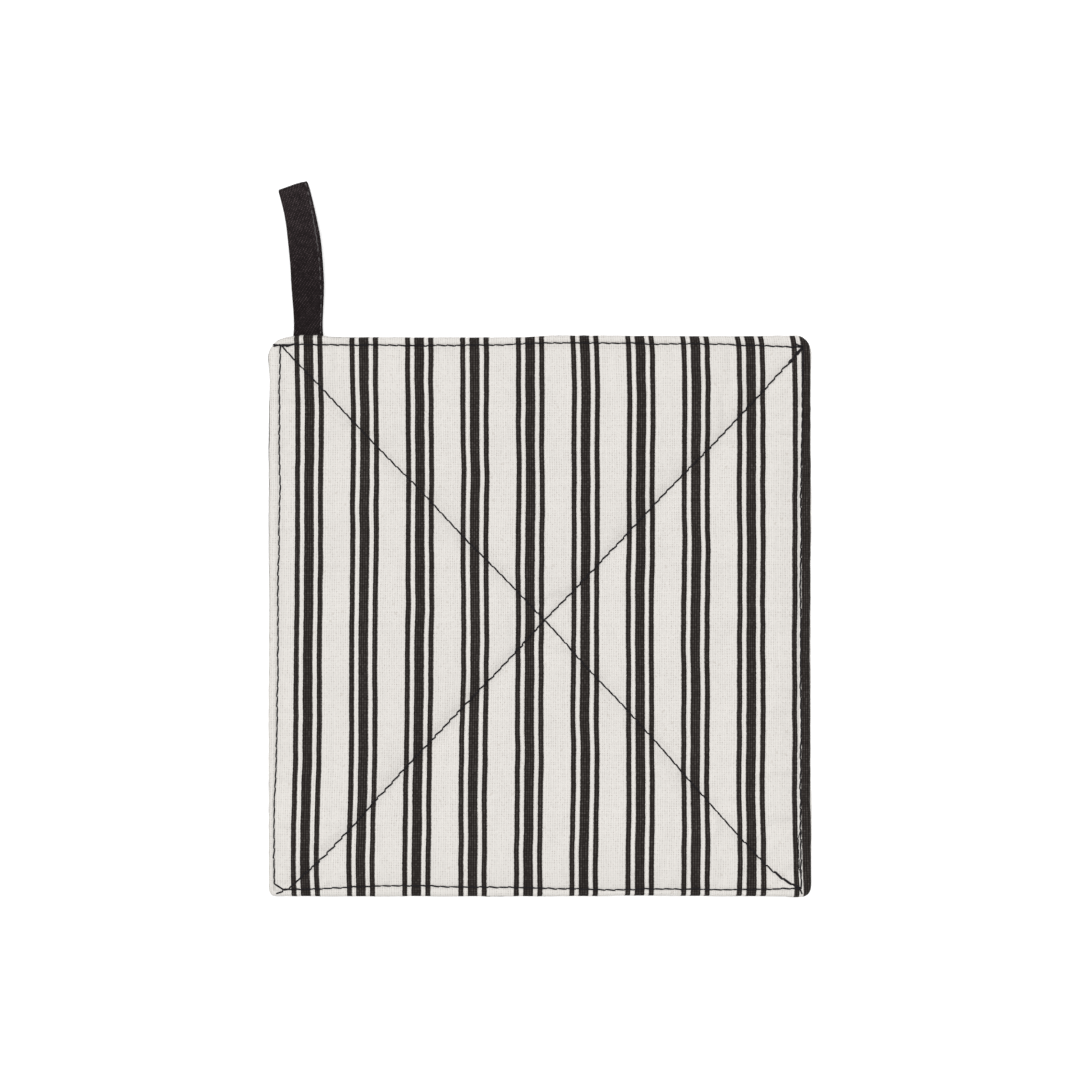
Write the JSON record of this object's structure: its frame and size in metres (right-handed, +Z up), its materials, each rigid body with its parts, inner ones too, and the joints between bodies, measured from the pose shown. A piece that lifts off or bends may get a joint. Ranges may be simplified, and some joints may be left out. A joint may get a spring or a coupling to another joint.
{
  "type": "quilted pot holder",
  "caption": "Flat square quilted cotton pot holder with crossed diagonal stitching, padded front and back panels, and a folded strap loop at one corner for hanging.",
  "frame": {"origin": "bottom centre of the whole object's box, loop included, on the surface that the pad lies on", "axes": "+Z up out of the front panel, +Y from the pad's bottom edge towards the edge with the hanging loop, +X to the right seen from the front"},
  "size_m": [0.2, 0.2638, 0.0092],
  "materials": {
    "striped_cotton": "plain-weave cotton, off-white with groups of one wide and two narrow near-black stripes",
    "wadding": "matted soft needled cotton wadding",
    "black_tape": "matte black plain-weave cotton strap",
    "black_thread": "twisted black sewing thread with a slight sheen",
    "white_thread": "twisted off-white sewing thread"
  },
  "bodies": {
    "upper_left_half": {"panel_front_upper_left": "striped_cotton", "wadding_front_upper_left": "wadding", "edge_stitch_front_upper_left": "black_thread", "cross_stitch_front_upper_left": "black_thread", "fold_stitch_front": "black_thread", "panel_back_upper_left": "striped_cotton", "wadding_back_upper_left": "wadding", "edge_stitch_back_upper_left": "black_thread", "cross_stitch_back_upper_left": "black_thread", "fold_stitch_back": "black_thread", "seam_thread_upper_left": "white_thread", "loop_tails": "black_tape"},
    "lower_right_half": {"panel_front_lower_right": "striped_cotton", "wadding_front_lower_right": "wadding", "edge_stitch_front_lower_right": "black_thread", "cross_stitch_front_lower_right": "black_thread", "panel_back_lower_right": "striped_cotton", "wadding_back_lower_right": "wadding", "edge_stitch_back_lower_right": "black_thread", "cross_stitch_back_lower_right": "black_thread", "seam_thread_lower_right": "white_thread"},
    "hanging_loop": {"loop_strap": "black_tape", "loop_stitch_outer": "black_thread", "loop_stitch_inner": "black_thread"}
  },
  "joints": [
    {"name": "pad_fold", "type": "hinge", "parent": "upper_left_half", "child": "lower_right_half", "pos_m": [0, -0.0285, 0.008], "axis": [-0.6952, -0.7188, 0], "range_deg": [0, 150]},
    {"name": "loop_swing", "type": "hinge", "parent": "upper_left_half", "child": "hanging_loop", "pos_m": [-0.0851, 0.0748, 0.00675], "axis": [1, 0, 0], "range_deg": [0, 150]}
  ]
}
